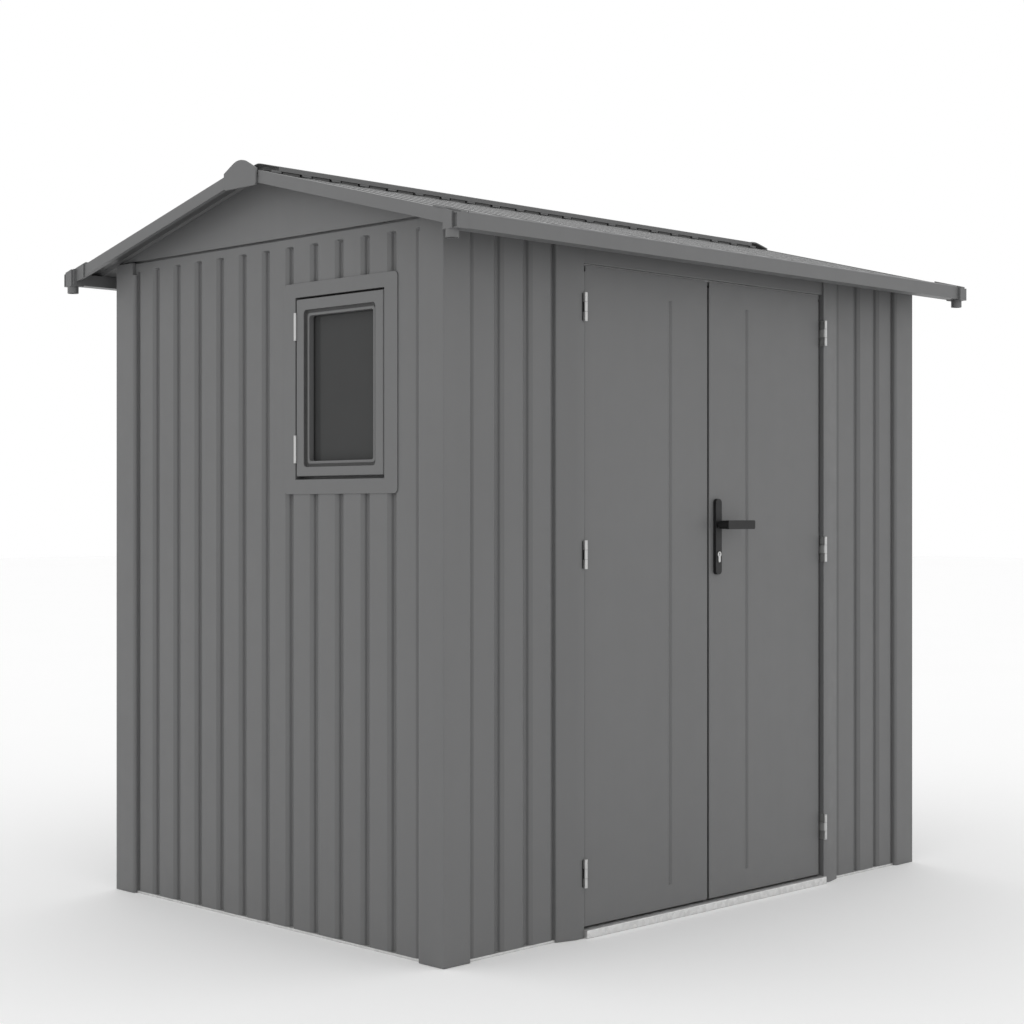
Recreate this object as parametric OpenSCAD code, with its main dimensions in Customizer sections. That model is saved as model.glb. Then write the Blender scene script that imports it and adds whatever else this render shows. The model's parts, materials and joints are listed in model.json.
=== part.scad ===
// Metal tool shed: folded sheet walls between corner posts, twin outward
// opening doors, one side window, low pitched ribbed roof with box gutters.
// Millimetres. X runs along the door front, Y towards the back, Z up.
// The origin is the middle of the footprint, at ground level.

/* [Shed] */
// Width over the corner posts, along the door front
shed_w = 2185; // [2180:1:2190]
// Depth over the corner posts
shed_d = 1520; // [1516:1:1524]
// Height of the joint between wall panel and gable
wall_h = 1973; // [1972:0.5:1974]
// Roof pitch in degrees
pitch = 14.2; // [14.1:0.05:14.3]
// Height where the two rake lines meet
apex_h = 2179.5; // [2178:0.5:2181]

/* [Wall sheets] */
// Thickness of the folded sheet
sheet = 2; // [1.5:0.5:2.5]
// How far the wall sheet sits behind the post faces
inset = 11; // [10:0.5:12]
// Distance between neighbouring grooves
groove_pitch = 110; // [108:1:111]
// Width of a groove at the face
groove_w = 39; // [37:1:41]
// Width of a groove at the shoulders, where its sides turn steep
groove_mid = 19; // [18:1:21]
// Depth of the shoulders
shoulder_d = 7; // [6:0.5:8]
// Width of a groove at its floor
groove_floor = 13; // [11:1:15]
// Depth of a groove
groove_d = 14; // [12:0.5:15]
// Width of the sloping slot beside a post or jamb
slot_w = 17; // [15:1:19]
// Depth of the slot
slot_d = 7; // [6:0.5:8]
// Shift of the side wall grooves towards the back
side_shift = 5.5; // [4:0.5:7]
// Distance from the wall joint down to the closed groove ends
groove_stop = 27; // [22:1:34]

/* [Posts and base] */
// Face width of a corner post
post_w = 92; // [90:1:94]
// Height of the galvanised base rail
rail_h = 7; // [5:0.5:8]

/* [Doors] */
// Half of the clear width between the jambs
door_half = 565; // [560:1:568]
// Face width of a jamb
jamb_w = 97; // [95:1:99]
// How far the jamb stands in front of the post faces
jamb_out = 11; // [9:0.5:12]
// Height of the sill
sill_h = 23; // [20:1:24]
// Underside of the door head
head_z = 1890; // [1889:1:1892]
// Thickness of a door leaf
leaf_t = 24; // [20:1:26]
// Half of the gap where the two leaves meet
meet_gap = 5; // [4:0.5:5.5]
// Distance of the meeting line from the middle of the shed
meet_shift = 6; // [4:1:7]
// Heights of the three hinges
hinge_z = [182, 1073, 1766]; // [100:1:1800]

/* [Handle] */
// Distance of the handle from the middle of the shed
handle_x = 32; // [30:1:36]
// Height of the lever
lever_z = 1154; // [1150:1:1158]
// Length of the lever from its neck
lever_len = 118; // [100:1:122]

/* [Window] */
// Near edge of the casement along the side wall
win_y0 = -513.5; // [-515:0.5:-512]
// Far edge of the casement along the side wall
win_y1 = -137.5; // [-139:0.5:-136]
// Lower edge of the casement
win_z0 = 1293; // [1291:1:1295]
// Upper edge of the casement
win_z1 = 1797; // [1795:1:1799]

/* [Roof] */
// How far the roof reaches past the side post faces
verge = 81; // [80:0.5:82]
// How far the gutter face stands in front of the front post face
eave = 143; // [142:0.5:144]
// Height of a roof rib
rib_h = 10; // [8:0.5:10]
// Width of a roof rib at its foot
rib_w = 44; // [40:1:48]
// Vertical height of a barge board
barge_h = 36; // [34:0.5:38]

/* [Hidden] */
$fn = 48;

hw = shed_w / 2;
hd = shed_d / 2;
tn = tan(pitch);
grey = [0.44, 0.445, 0.45];
zinc = [0.74, 0.74, 0.74];
steel = [0.8, 0.8, 0.8];
black = [0.1, 0.1, 0.1];

// Underside of the roof sheet, and top of the rake, at a distance y from the ridge
pan_drop = rib_h + 2;
function rake(y) = apex_h - tn * abs(y);
function under(y) = rake(y) - pan_drop - sheet / cos(pitch);

wall_top = wall_h - 4;
gable_z0 = wall_h + 4;
front_top = under(hd - inset) - 0.3;
post_top = under(hd) - 0.4;
// Inner end of the two front wall sheets
wall_in = door_half + 78;
jamb_y = -hd - jamb_out;
door_y = -hd;
jamb_top = under(hd + jamb_out) - 0.4;
leaf_z0 = sill_h + 6;
leaf_z1 = head_z - 22;
leaf_x = door_half - 6;
axis_x = door_half + 0.5;
axis_y = jamb_y - 6;
knuckle_r = 5.5;
gut_y = hd + eave;
gut_z0 = 1912;
gut_z1 = 1953;
cap_x0 = hw + verge - 24.5;
cap_x1 = hw + verge + 12.5;
cap_y0 = hd + 97;
cap_y1 = hd + 152;

module box(x0, x1, y0, y1, z0, z1) {
    translate([x0, y0, z0]) cube([x1 - x0, y1 - y0, z1 - z0]);
}

// A prism along X from a profile drawn in Y and Z
module along_x(x0, x1) {
    translate([x0, 0, 0]) rotate([90, 0, 90]) linear_extrude(height = x1 - x0) children();
}

// A groove as a solid, running up from z0 to a sloped closed end at z1.
// g widens it all round, for the back of the sheet.
module groove(z0, z1, g, front) {
    d = groove_d + g;
    k1 = (groove_w - groove_mid) / 2 / shoulder_d;
    k2 = (groove_mid - groove_floor) / 2 / (groove_d - shoulder_d);
    a1 = groove_w / 2 + g * sqrt(1 + k1 * k1);
    a2 = groove_mid / 2 + k2 * shoulder_d + g * sqrt(1 + k2 * k2);
    sv = (a1 - a2) / (k1 - k2);
    su = a1 - k1 * sv;
    fl = a2 - k2 * d;
    intersection() {
        translate([0, 0, z0]) linear_extrude(height = z1 + 3 * g - z0)
            polygon([[-a1 - k1 * front, -front], [a1 + k1 * front, -front], [su, sv], [fl, d], [-fl, d], [-su, sv]]);
        groove_end(z0, z1, g, front, groove_d);
    }
}
module groove_end(z0, z1, g, front, gd) {
    translate([-60, 0, 0]) rotate([90, 0, 90]) linear_extrude(height = 120)
        polygon([[-front, z0], [gd + g, z0], [gd + g, z1 - 12 + g], [-front, z1 + g + 12 * front / gd]]);
}

// A slot with one upright side at u = 0 and one sloping side towards +u
slot_floor = 1.5;
module slot(z0, z1, g, front) {
    k = (slot_w - slot_floor) / slot_d;
    o = g * sqrt(1 + k * k);
    intersection() {
        translate([0, 0, z0]) linear_extrude(height = z1 + 3 * g - z0)
            polygon([[-g, -front], [slot_w + o + k * front, -front], [slot_floor + o - k * g, slot_d + g], [-g, slot_d + g]]);
        groove_end(z0, z1, g, front, slot_d);
    }
}

// A wall sheet from u0 to u1: face at v = 0, inside towards +v.
// us holds the groove positions, es the upright side and the direction of
// each slot beside a post or jamb, gz the height of their closed ends.
module wall_sheet(u0, u1, z0, z1, us, es, gz) {
    difference() {
        intersection() {
            union() {
                box(u0, u1, 0, sheet, z0, z1);
                for (u = us) translate([u, 0, 0]) groove(z0, gz, sheet, 0);
                for (e = es) translate([e[0], 0, 0]) mirror([e[1] < 0 ? 1 : 0, 0, 0]) slot(z0, gz, sheet, 0);
            }
            box(u0, u1, -1, 30, z0, z1);
        }
        for (u = us) translate([u, 0, 0]) groove(z0 - 1, gz, 0, 1);
        for (e = es) translate([e[0], 0, 0]) mirror([e[1] < 0 ? 1 : 0, 0, 0]) slot(z0 - 1, gz, 0, 1);
    }
}

// ---------------------------------------------------------------- posts, base
// Corner post for the front left corner
lap_top = 1935;
module post() {
    x0 = -hw;
    y0 = -hd;
    difference() {
        union() {
            box(x0, x0 + post_w, y0, y0 + inset, 0, post_top);
            box(x0, x0 + inset, y0, y0 + post_w, 0, post_top);
            // rolled inner edges
            intersection() {
                box(x0 + post_w - 1, x0 + post_w + inset, y0, y0 + inset, 0, lap_top);
                translate([x0 + post_w, y0 + inset, -1]) cylinder(r = inset, h = lap_top + 2, $fn = 72);
            }
            intersection() {
                box(x0, x0 + inset, y0 + post_w - 1, y0 + post_w + inset, 0, lap_top);
                translate([x0 + inset, y0 + post_w, -1]) cylinder(r = inset, h = lap_top + 2, $fn = 72);
            }
        }
        difference() {
            box(x0 - 1, x0 + 4, y0 - 1, y0 + 4, -1, post_top + 1);
            translate([x0 + 4, y0 + 4, -2]) cylinder(r = 4, h = post_top + 4);
        }
    }
}
module front_left_post() { color(grey) post(); }
module front_right_post() { color(grey) mirror([1, 0, 0]) post(); }
module back_left_post() { color(grey) mirror([0, 1, 0]) post(); }
module back_right_post() { color(grey) mirror([1, 0, 0]) mirror([0, 1, 0]) post(); }

rail_d = 30;
module side_rail() {
    x0 = -hw + inset;
    y = hd - inset;
    box(x0, x0 + rail_d, -y, y, 0, rail_h);
    box(x0 + rail_d - sheet, x0 + rail_d, -y + 14, y - 14, rail_h, 40);
}
module left_base_rail() { color(zinc) side_rail(); }
module right_base_rail() { color(zinc) mirror([1, 0, 0]) side_rail(); }
rail_x = hw - inset - rail_d - 2;
module front_rail(x0, x1) {
    y0 = -hd + inset;
    box(x0, x1, y0, y0 + rail_d, 0, rail_h);
    box(x0, x1, y0 + rail_d - sheet, y0 + rail_d, rail_h, 40);
}
module back_base_rail() { color(zinc) mirror([0, 1, 0]) front_rail(-rail_x, rail_x); }
rail_in = wall_in + 14.5;
module front_base_rails() {
    color(zinc) {
        front_rail(-rail_x, -rail_in);
        front_rail(rail_in, rail_x);
    }
}
sill_out = 12;
module door_sill() {
    color(zinc) difference() {
        box(-door_half, door_half, jamb_y - sill_out, -hd + 41, 0, sill_h);
        // step down behind the leaves
        box(-door_half - 1, door_half + 1, -hd + 30, -hd + 42, 8, sill_h + 1);
    }
}

// ---------------------------------------------------------------- walls
side_us = [for (k = [-5:5]) -k * groove_pitch - side_shift];
side_e = hd - post_w - inset;
back_us = [for (k = [-8:8]) k * groove_pitch];
front_e = hw - post_w - inset;
jamb_e = door_half + jamb_w;
groove_top = wall_h - groove_stop;
wall_end = hw - inset - groove_d - sheet - 2.5;
side_end = hd - inset - 0.5;

// Side wall drawn with its face towards -X
module side_wall() {
    translate([-hw + inset, 0, 0]) rotate([0, 0, -90])
        wall_sheet(-side_end, side_end, rail_h, wall_top, side_us, [[-side_e, 1], [side_e, -1]], groove_top);
}
// gap under the casement, and the level that its lower rail is measured from
gap_low = 9;
win_zi = win_z0 - 7.5;
hole_y0 = win_y0 - 5;
hole_y1 = win_y1 + 5;
hole_z0 = win_z0 - gap_low - 2;
hole_z1 = win_z1 + 5;
module left_wall() {
    color(grey) difference() {
        side_wall();
        box(-hw - 5, -hw + inset + 40, hole_y0, hole_y1, hole_z0, hole_z1);
        window_knuckles(5.4, 80);
    }
}
module right_wall() { color(grey) mirror([1, 0, 0]) side_wall(); }

module front_left_wall() {
    color(grey) translate([0, -hd + inset, 0])
        wall_sheet(-wall_end, -wall_in, rail_h, front_top,
            [for (k = [7, 8]) 2.5 - k * groove_pitch], [[-front_e, 1], [-jamb_e, -1]], groove_top);
}
module front_right_wall() {
    color(grey) translate([0, -hd + inset, 0])
        wall_sheet(wall_in, wall_end, rail_h, front_top,
            [for (k = [7, 8]) 10 + k * groove_pitch], [[front_e, -1], [jamb_e, 1]], groove_top);
}
module back_wall() {
    color(grey) mirror([0, 1, 0]) translate([0, -hd + inset, 0])
        wall_sheet(-wall_end, wall_end, rail_h, front_top, back_us, [[-front_e, 1], [front_e, -1]], groove_top);
}

// Flat gable sheet over the side wall
module gable() {
    y = (under(0) - 0.3 - gable_z0) / tn;
    along_x(-hw + inset, -hw + inset + sheet)
        polygon([[-y, gable_z0], [y, gable_z0], [0, under(0) - 0.3]]);
}
module left_gable() { color(grey) gable(); }
module right_gable() { color(grey) mirror([1, 0, 0]) gable(); }

// Rail behind the joint of side wall and gable
tie_x = hw - inset - sheet;
module tie() {
    y = hd - inset - 22;
    yu = y - 90;
    box(-tie_x, -tie_x + sheet, -y, y, groove_top + 4, wall_top - 4);
    box(-tie_x, -tie_x + 16, -y, y, wall_top - 6, wall_top - 4);
    box(-tie_x + 14, -tie_x + 16, -y, y, wall_top - 6, gable_z0 + 3);
    box(-tie_x + 14, -tie_x + 16, -yu, yu, gable_z0 + 3, gable_z0 + 6);
    box(-tie_x, -tie_x + 16, -yu, yu, gable_z0 + 4, gable_z0 + 6);
    box(-tie_x, -tie_x + sheet, -yu, yu, gable_z0 + 4, gable_z0 + 18);
}
module tie_rails() {
    color(grey) {
        tie();
        mirror([1, 0, 0]) tie();
    }
}

// ---------------------------------------------------------------- door frame
module left_jamb() {
    x0 = -door_half - jamb_w;
    yb = -hd + inset - 0.3;
    xw = -wall_in + 2.5;
    xe = xw + 3.5;
    // ends of the sloping part of the face
    bx = -door_half - 35;
    cx = x0 + 6;
    cy = yb - 6.2;
    ye = cy + (xe - cx) / (bx - cx) * (jamb_y - cy);
    color(grey) difference() {
        union() {
            // face, sloping down to a rounded edge on the wall sheet
            linear_extrude(height = jamb_top)
                polygon([[-door_half, jamb_y], [bx, jamb_y], [cx, cy], [x0 + 2.5, yb - 4.6], [x0 + 0.7, yb - 2.4], [x0, yb],
                    [xe, yb], [xe, ye + 5], [bx, jamb_y + 5], [-door_half, jamb_y + 5]]);
            box(xw, xe, yb - 1, -hd + 34, 0, jamb_top);
            box(-door_half - 14, -door_half, jamb_y + 5, -hd + 29, 0, jamb_top);
            // stop behind the leaf
            box(xw + 3, -door_half + 20, -hd + 30, -hd + 34, 0, jamb_top);
            box(-door_half - 14, -door_half, -hd + 29, -hd + 30, 0, jamb_top);
        }
        // the sill passes under the stop
        box(-door_half, -door_half + 30, -hd + 20, -hd + 42, -1, sill_h + 1);
    }
}
module right_jamb() { mirror([1, 0, 0]) left_jamb(); }
module door_header() {
    color(grey) {
        along_x(-door_half, door_half)
            polygon([[jamb_y + 6, jamb_top], [jamb_y + 6, head_z], [door_y + 6.7, head_z],
                [door_y + 6.7, head_z - 16], [-hd + 29, head_z - 16], [-hd + 29, jamb_top]]);
        box(-door_half + 20, door_half - 20, -hd + 29, -hd + 34, head_z - 32, jamb_top);
    }
}

// ---------------------------------------------------------------- window
win_x = -hw + inset;
plate_t = 3;
module rounded(y0, y1, z0, z1, r) {
    translate([y0 + r, z0]) square([y1 - y0 - 2 * r, z1 - z0]);
    translate([y0, z0 + r]) square([y1 - y0, z1 - z0 - 2 * r]);
    for (y = [y0 + r, y1 - r], z = [z0 + r, z1 - r]) translate([y, z]) circle(r = r);
}
liner = 32;
module window_surround() {
    color(grey) difference() {
        union() {
            along_x(win_x - plate_t, win_x) rounded(win_y0 - 56, win_y1 + 52, win_z0 - 50, win_z1 + 43, 13);
            box(win_x, win_x + liner, hole_y0 + 0.3, hole_y1 - 0.3, hole_z0 + 0.3, hole_z1 - 0.3);
        }
        box(win_x - 9, win_x + liner - 2, win_y0 - 3, win_y1 + 3, win_z0 - gap_low, win_z1 + 3);
        box(win_x - 9, win_x + liner + 9, win_y0 + 18, win_y1 - 18, win_z0 + 18, win_z1 - 18);
        // recesses for the casement hinges
        window_knuckles(5.2, 80);
    }
}
face_m = 38;
module window_casement() {
    x0 = win_x - plate_t;
    x1 = win_x + liner - 2;
    bev = 12;
    color(grey) difference() {
        box(x0, x1, win_y0, win_y1, win_z0, win_z1);
        // bevelled opening in front of the glass, drawn as a tapering well
        intersection() {
            along_x(x0 - 1, win_x + 25) rounded(win_y0 + face_m, win_y1 - face_m, win_zi + face_m, win_z1 - face_m, 12);
            translate([0, 0, win_z0]) linear_extrude(height = win_z1 - win_z0)
                polygon([[x0 - 1, win_y0 + face_m], [x0 + 6, win_y0 + face_m], [win_x + 25, win_y0 + face_m + bev],
                    [win_x + 25, win_y1 - face_m - bev], [x0 + 6, win_y1 - face_m], [x0 - 1, win_y1 - face_m]]);
            translate([0, win_y1, 0]) rotate([90, 0, 0]) linear_extrude(height = win_y1 - win_y0)
                polygon([[x0 - 1, win_zi + face_m], [x0 + 6, win_zi + face_m], [win_x + 25, win_zi + face_m + bev],
                    [win_x + 25, win_z1 - face_m - bev], [x0 + 6, win_z1 - face_m], [x0 - 1, win_z1 - face_m]]);
        }
        window_knuckles(5.2, 80);
        // rebate that holds the pane
        box(win_x + 24.9, x1 + 1, win_y0 + face_m + 4, win_y1 - face_m - 4, win_zi + face_m + 4, win_z1 - face_m - 4);
    }
}
module window_glass() {
    color([0.28, 0.28, 0.28])
        box(win_x + 25, win_x + 29, win_y0 + face_m + 4, win_y1 - face_m - 4, win_zi + face_m + 4, win_z1 - face_m - 4);
}
win_hinge_z = [1370, 1717.5];
// Knuckles in the gap beside the casement
module window_knuckles(r, h) {
    for (z = win_hinge_z) translate([win_x - plate_t - 0.4, win_y1 + 2.2, z - h / 2]) cylinder(r = r, h = h);
}
module window_hinges() { color(steel) window_knuckles(5, 79); }

// ---------------------------------------------------------------- roof
rib_top = 32;
roof_hw = cap_x0 - 1;
rib_n = 10;
function rib_line(s) = concat([[-roof_hw, 0]],
    [for (k = [-rib_n:rib_n]) for (p = [[-rib_w / 2, 0], [-rib_top / 2, rib_h], [rib_top / 2, rib_h], [rib_w / 2, 0]])
        [k * groove_pitch + p[0] - s * sign(p[0]) * 0.6, p[1] - s * sheet]],
    [[roof_hw, 0]]);
rib_pts_top = rib_line(0);
rib_pts_low = [for (i = [len(rib_line(1)) - 1:-1:0]) let (p = rib_line(1)[i])
    [p[0], (i == 0 || i == len(rib_line(1)) - 1) ? -sheet : p[1]]];
roof_y0 = 12;
roof_y1 = gut_y - 13;
module front_roof() {
    color(grey) translate([0, -roof_y0, rake(roof_y0) - pan_drop]) rotate([pitch, 0, 0]) rotate([90, 0, 0])
        linear_extrude(height = (roof_y1 - roof_y0) / cos(pitch)) polygon(concat(rib_pts_top, rib_pts_low));
}
module back_roof() { mirror([0, 1, 0]) front_roof(); }

ridge_w = 70;
ridge_top = apex_h + 16;
ridge_x = hw + 22;
skirt = 5.5;
function arc_z(y, r, top) = top - r + sqrt(r * r - y * y);
module ridge_cap() {
    // height of the upper face, lowered evenly along both slopes and eased at the top
    function top(y) = ridge_top - tn * (sqrt(y * y + 100) - 10);
    n = 12;
    ys = [for (i = [-n:n]) ridge_w * sign(i) * pow(abs(i) / n, 2)];
    color(grey) {
        along_x(-ridge_x, ridge_x)
            polygon(concat([for (y = ys) [y, top(y)]], [for (i = [2 * n:-1:0]) [ys[i], top(ys[i]) - sheet]]));
        // skirts along both edges, and plates that close the ends
        for (m = [0, 1]) mirror([0, m, 0])
            box(-hw, hw, ridge_w - sheet, ridge_w, rake(ridge_w) + skirt, top(ridge_w) - 0.5);
        for (m = [0, 1]) mirror([m, 0, 0]) along_x(-hw, -hw + sheet)
            polygon(concat([for (y = ys) [y, top(y) - 1]], [for (i = [2 * n:-1:0]) [ys[i], rake(ys[i]) + 1.5]]));
        // pads between the cap's skirt and the ribs
        for (k = [-rib_n:rib_n], m = [0, 1]) mirror([0, m, 0])
            box(k * groove_pitch - 17, k * groove_pitch + 17, -ridge_w + 0.5, -ridge_w + 6,
                rake(ridge_w - 6) - 1.5, rake(ridge_w) + skirt + 1);
    }
}
end_w = 75;
end_r = 69;
function end_z(y) = abs(y) < end_r * sin(28) ? arc_z(y, end_r, ridge_top + 1.5)
    : ridge_top + 1.5 - end_r * (1 - cos(28)) - (abs(y) - end_r * sin(28)) * tan(28);
module ridge_end() {
    n = 16;
    z0 = apex_h - 62;
    color(grey) along_x(-hw - verge - 7, -hw - verge + 0.7)
        polygon(concat([[-end_w + 6, z0], [end_w - 6, z0], [end_w, z0 + 6]],
            [for (i = [n:-1:-n]) let (y = end_w * i / n) [y, end_z(y)]],
            [[-end_w, z0 + 6]]));
}
module ridge_end_caps() {
    ridge_end();
    mirror([1, 0, 0]) ridge_end();
}

// Barge board of the front left rake
module barge() {
    y0 = -78;
    y1 = -cap_y0 + 0.3;
    x0 = -hw - verge;
    module strip(xa, xb, top, low) {
        along_x(xa, xb) polygon([[y0, rake(y0) - top], [y1, rake(y1) - top], [y1, rake(y1) - low], [y0, rake(y0) - low]]);
    }
    strip(x0, x0 + sheet, 0, barge_h);
    strip(x0 + sheet, x0 + 32, 0, sheet);
    strip(x0 + 30, x0 + 32, sheet, pan_drop - 0.2);
    strip(x0 + sheet, x0 + 14, barge_h - sheet, barge_h);
}
module left_barge_boards() {
    color(grey) {
        barge();
        mirror([0, 1, 0]) barge();
    }
}
module right_barge_boards() { mirror([1, 0, 0]) left_barge_boards(); }

gut_back = cap_y0 + 0.2;
module front_gutter() {
    color(grey) along_x(-cap_x0 + 0.2, cap_x0 - 0.2)
        polygon([[-gut_y, gut_z0], [-gut_back, gut_z0], [-gut_back, under(gut_back) - 0.4],
            [-gut_back - sheet, under(gut_back + sheet) - 0.4], [-gut_back - sheet, gut_z0 + sheet],
            [-gut_y + sheet, gut_z0 + sheet], [-gut_y + sheet, gut_z1], [-gut_y, gut_z1]]);
}
module back_gutter() { mirror([0, 1, 0]) front_gutter(); }

// End cap of the front left gutter, with a lid that reaches over the barge
// board, an outlet spout and, where clip is set, a side clip on the board
module gutter_cap(clip) {
    z0 = gut_z0 - 3;
    yc = -cap_y0 + 42;
    yl = -cap_y0 + 50;
    xc = -hw - verge;
    color(grey) {
        if (clip) along_x(xc - 4, xc - 0.2) polygon([[-cap_y0, rake(cap_y0) - barge_h - 4], [yc, rake(yc) - barge_h - 4],
            [yc, rake(yc) + 3.5], [-cap_y0, rake(cap_y0) + 3.5]]);
        along_x(xc - 1, xc + 20) polygon([[-cap_y1, rake(cap_y1)], [-cap_y0, rake(cap_y0)], [-cap_y0, rake(cap_y0) + 0.2],
            [yl, rake(yl) + 0.2], [yl, rake(yl) + 5], [-cap_y1, rake(cap_y1) + 5]]);
        difference() {
            along_x(-cap_x1, -cap_x0) polygon([[-cap_y1, z0], [-cap_y0, z0], [-cap_y0, rake(cap_y0)], [-cap_y1, rake(cap_y1)]]);
            // slot behind the thin front lip
            box(-cap_x1 - 1, -cap_x1 + 4, -cap_y1 + 1.5, -cap_y1 + 16, z0 + 3, rake(cap_y1) - 2);
        }
        // end plate
        along_x(-cap_x1 - 5.5, -cap_x1) polygon([[-cap_y1 + 16, z0], [-cap_y0 - 6, z0],
            [-cap_y0 - 6, rake(cap_y0 + 6)], [-cap_y1 + 16, rake(cap_y1 - 16)]]);
        // outlet spout
        translate([-cap_x1 + 9, -cap_y0 - 23, z0 - 22]) difference() {
            cylinder(r = 14.3, h = 23);
            translate([0, 0, -1]) cylinder(r = 12, h = 20);
        }
    }
}
module front_left_gutter_cap() { gutter_cap(false); }
module front_right_gutter_cap() { mirror([1, 0, 0]) gutter_cap(false); }
module back_left_gutter_cap() { mirror([0, 1, 0]) gutter_cap(true); }
module back_right_gutter_cap() { mirror([1, 0, 0]) mirror([0, 1, 0]) gutter_cap(true); }

// ---------------------------------------------------------------- hinges
// Fixed halves on the left jamb: outer knuckles, pin and web
knuckle_h = 26;
pin_r = 3;
module frame_hinge(z) {
    translate([-axis_x, axis_y, z]) {
        for (s = [-1, 1]) translate([0, 0, s * 27]) {
            translate([0, 0, -13]) cylinder(r = knuckle_r, h = knuckle_h);
            translate([-knuckle_r, 0, -13]) cube([knuckle_r, jamb_y - axis_y, knuckle_h]);
        }
        translate([0, 0, -40]) cylinder(r = pin_r, h = 80);
        // plate on the inner side of the jamb
        translate([axis_x - door_half, jamb_y - axis_y, -40]) cube([1, 24, 80]);
        for (s = [-1, 1]) translate([axis_x - door_half, 3, s * 27 - 13]) cube([1, jamb_y - axis_y - 2, knuckle_h]);
    }
}
module left_frame_hinges() { color(steel) for (z = hinge_z) frame_hinge(z); }
module right_frame_hinges() { mirror([1, 0, 0]) left_frame_hinges(); }

// Moving halves on the left leaf
module door_hinge(z) {
    translate([-axis_x, axis_y, z]) difference() {
        union() {
            translate([0, 0, -13]) cylinder(r = knuckle_r, h = knuckle_h);
            translate([2, 0, -13]) cube([axis_x - leaf_x - 2, door_y - axis_y + 20, knuckle_h]);
        }
        translate([0, 0, -14]) cylinder(r = pin_r + 0.08, h = 28);
    }
}
module left_door_hinges() { color(steel) for (z = hinge_z) door_hinge(z); }
module right_door_hinges() { mirror([1, 0, 0]) left_door_hinges(); }

// ---------------------------------------------------------------- door leaves
bead_x = 181;
bead_z0 = 95;
bead_z1 = 1815;
leaf_r = 10;
module leaf(m) {
    x0 = -leaf_x;
    x1 = -meet_gap - m;
    y0 = door_y;
    y1 = door_y + leaf_t;
    color(grey) difference() {
        union() {
            difference() {
                box(x0, x1, y0, y1, leaf_z0, leaf_z1);
                box(x0 + 7, x1 - 4, y0 + sheet, y1 - sheet, leaf_z0 + sheet, leaf_z1 - sheet);
                // rolled edge on the hinge side
                difference() {
                    box(x0 - 1, x0 + leaf_r, y0 - 1, y0 + leaf_r, leaf_z0 - 1, leaf_z1 + 1);
                    translate([x0 + leaf_r, y0 + leaf_r, leaf_z0 - 2]) cylinder(r = leaf_r, h = leaf_z1 - leaf_z0 + 4);
                }
                box(x0 + 30, x1 - 30, y1 - sheet - 1, y1 + 1, leaf_z0 + 30, leaf_z1 - 30);
            }
            // top edge of the face sheet, in front of the head
            box(x0 + leaf_r, x1, y0, y0 + 1.5, leaf_z1 - sheet, head_z - 5);
            translate([-bead_x, 0, bead_z0]) linear_extrude(height = bead_z1 - bead_z0)
                polygon([[-11, y0 + sheet], [11, y0 + sheet], [2.5, y0 + sheet + 5], [-2.5, y0 + sheet + 5]]);
        }
        // pressed bead in the face
        translate([-bead_x, 0, bead_z0 + 2]) linear_extrude(height = bead_z1 - bead_z0 - 4)
            polygon([[-8, y0 - 1], [8, y0 - 1], [8, y0], [1.5, y0 + 5], [-1.5, y0 + 5], [-8, y0]]);
    }
}
module left_door_leaf() { leaf(meet_shift); }
module right_door_leaf() { mirror([1, 0, 0]) leaf(-meet_shift); }

// ---------------------------------------------------------------- handle
plate_w = 28;
plate_d = 11;
plate_z0 = 1004;
plate_z1 = 1232;
plate_y = door_y - plate_d;
neck_r = 8;
module handle_plate() {
    color(black) difference() {
        translate([0, door_y, 0]) rotate([90, 0, 0]) linear_extrude(height = plate_d)
            rounded(handle_x - plate_w / 2, handle_x + plate_w / 2, plate_z0, plate_z1, 12);
        translate([handle_x, door_y + 1, lever_z]) rotate([90, 0, 0]) cylinder(r = neck_r + 0.08, h = plate_d + 2);
        translate([0, door_y - 2, 0]) rotate([90, 0, 0]) linear_extrude(height = plate_d)
            lock_outline(0);
    }
}
lock_z = 1057;
module lock_outline(c) {
    translate([handle_x, lock_z + 8]) circle(r = 8.5 - c);
    translate([handle_x - 5 + c, lock_z - 16.5 + 5]) square([10 - 2 * c, 18]);
    translate([handle_x, lock_z - 11.5]) circle(r = 5 - c);
}
module lock_cylinder() {
    color(steel) translate([0, door_y - 2, 0]) rotate([90, 0, 0]) linear_extrude(height = plate_d + 1)
        lock_outline(0.1);
}
module door_lever() {
    y0 = plate_y;
    color(black) {
        translate([handle_x, door_y - 1.5, lever_z]) rotate([90, 0, 0]) cylinder(r = neck_r, h = plate_d - 1.5 + 46);
        translate([0, y0 - 34, 0]) rotate([90, 0, 0]) linear_extrude(height = 12)
            rounded(handle_x - 11, handle_x + lever_len, lever_z - 11.5, lever_z + 11.5, 5);
        // thick root of the lever, clear of the backplate
        translate([handle_x, y0 - 5.2, lever_z]) rotate([90, 0, 0]) cylinder(r = 11, h = 30);
    }
}

front_left_post();
front_right_post();
back_left_post();
back_right_post();
left_base_rail();
right_base_rail();
back_base_rail();
front_base_rails();
door_sill();
front_left_wall();
front_right_wall();
left_wall();
right_wall();
back_wall();
left_gable();
right_gable();
tie_rails();
left_jamb();
right_jamb();
door_header();
window_surround();
window_casement();
window_glass();
window_hinges();
front_roof();
back_roof();
ridge_cap();
ridge_end_caps();
left_barge_boards();
right_barge_boards();
front_gutter();
back_gutter();
front_left_gutter_cap();
front_right_gutter_cap();
back_left_gutter_cap();
back_right_gutter_cap();
left_frame_hinges();
right_frame_hinges();
left_door_leaf();
left_door_hinges();
right_door_leaf();
right_door_hinges();
handle_plate();
lock_cylinder();
door_lever();
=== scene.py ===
import json
import math

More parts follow.
